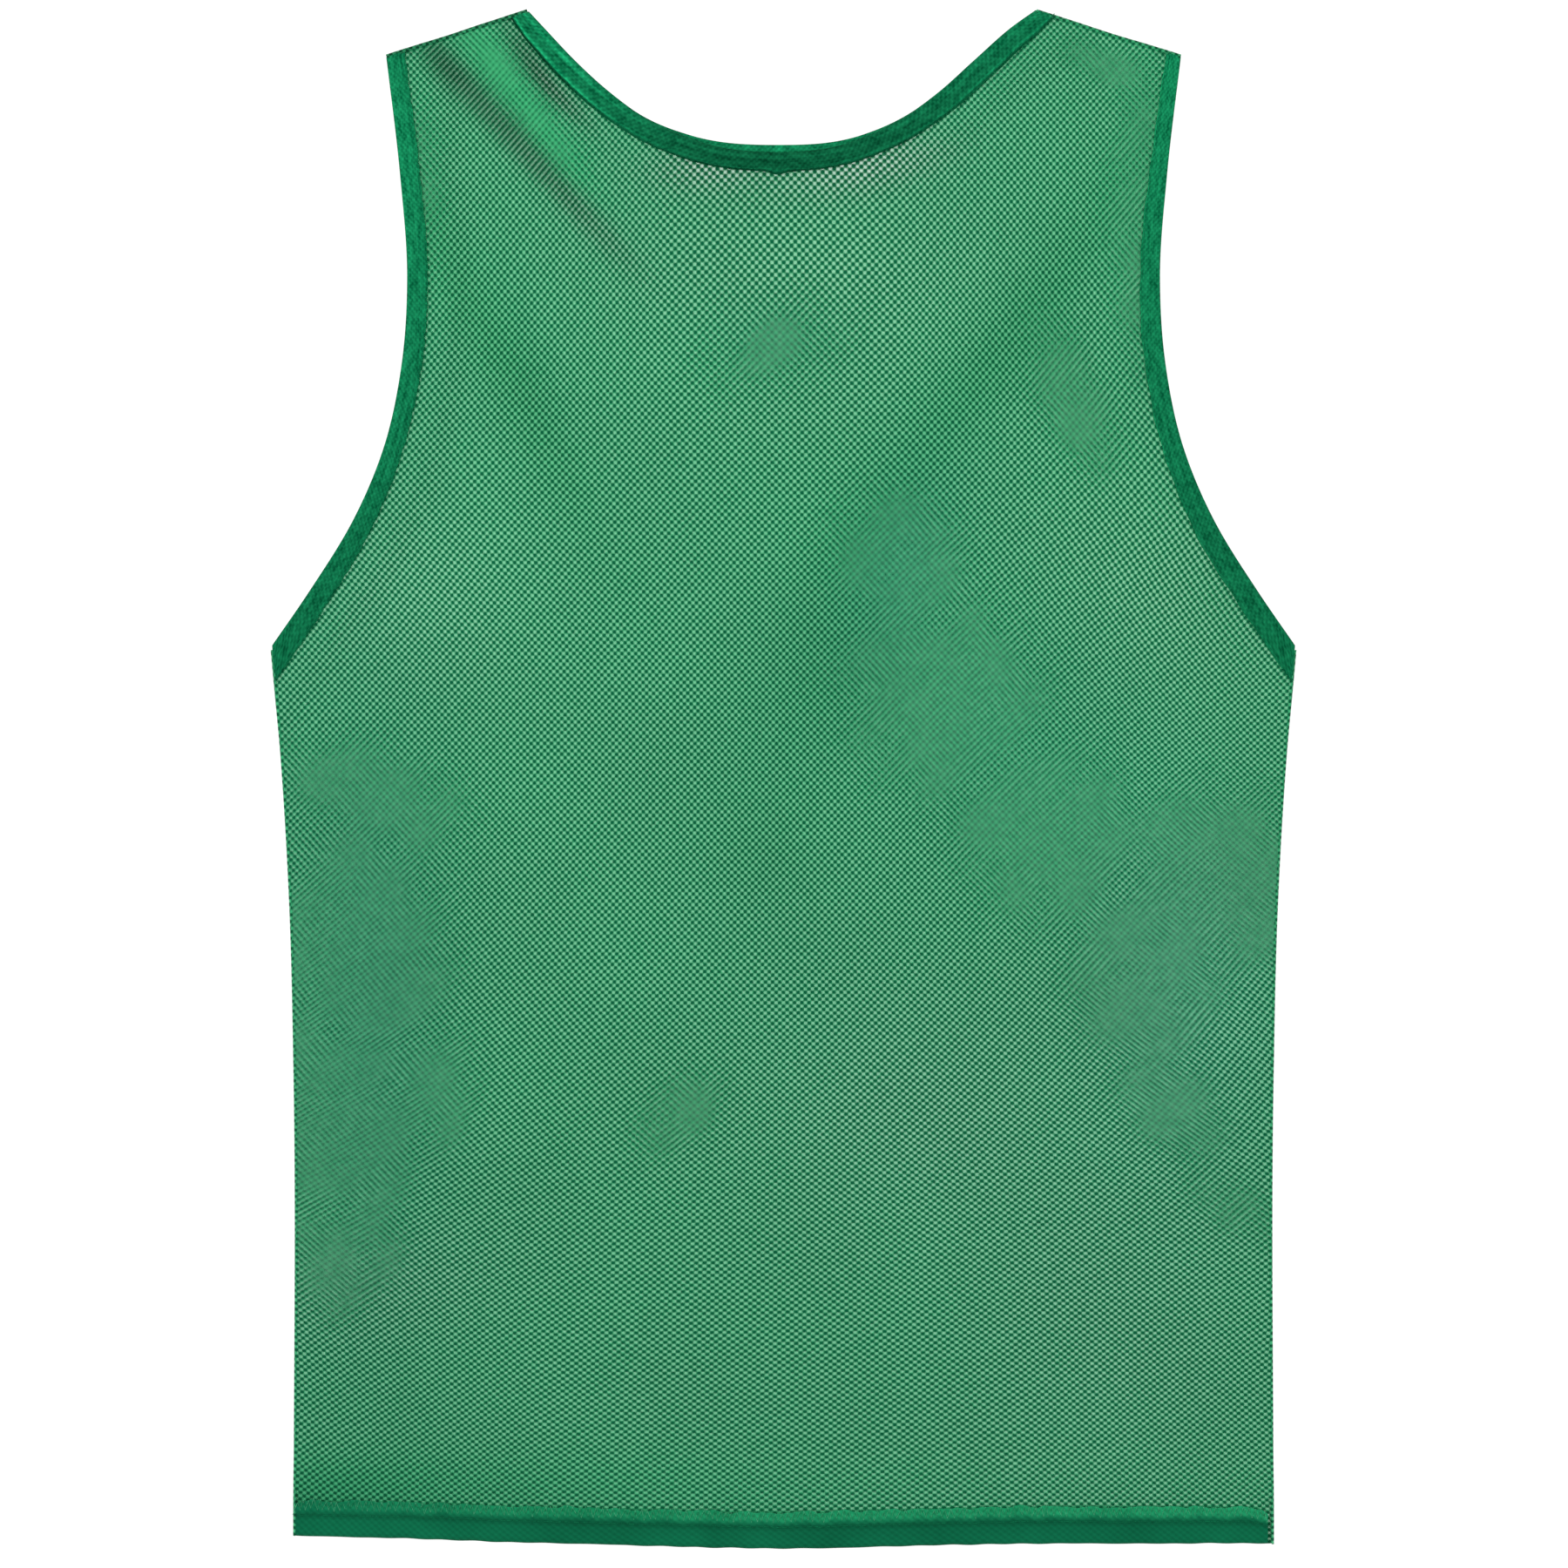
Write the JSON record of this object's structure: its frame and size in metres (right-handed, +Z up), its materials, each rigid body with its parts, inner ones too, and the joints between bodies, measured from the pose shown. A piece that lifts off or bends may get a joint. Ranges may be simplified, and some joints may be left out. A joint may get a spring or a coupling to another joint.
{
  "type": "mesh training bib",
  "caption": "Sleeveless pull-over bib of green net laid flat, with a scooped neck, deep armholes, knit bindings round the openings and a doubled hem.",
  "frame": {"origin": "on the surface that the bib lies on, under the middle of its bounding box", "axes": "+Z up out of the front panel, +Y toward the neck along the bib's length, +X toward the viewer's right"},
  "size_m": [0.4708, 0.7062, 0.0079],
  "materials": {
    "net": "open polyester net, matt with a faint sheen",
    "knit_binding": "close rib knit, matt",
    "hem_net": "doubled net, matt"
  },
  "bodies": {
    "root": {"front_panel": "net", "back_panel": "net", "neck_binding_front": "knit_binding", "neck_binding_back": "knit_binding", "arm_binding_left_front": "knit_binding", "arm_binding_left_back": "knit_binding", "arm_binding_right_front": "knit_binding", "arm_binding_right_back": "knit_binding", "hem_band_front": "hem_net", "hem_band_back": "hem_net"}
  },
  "joints": []
}
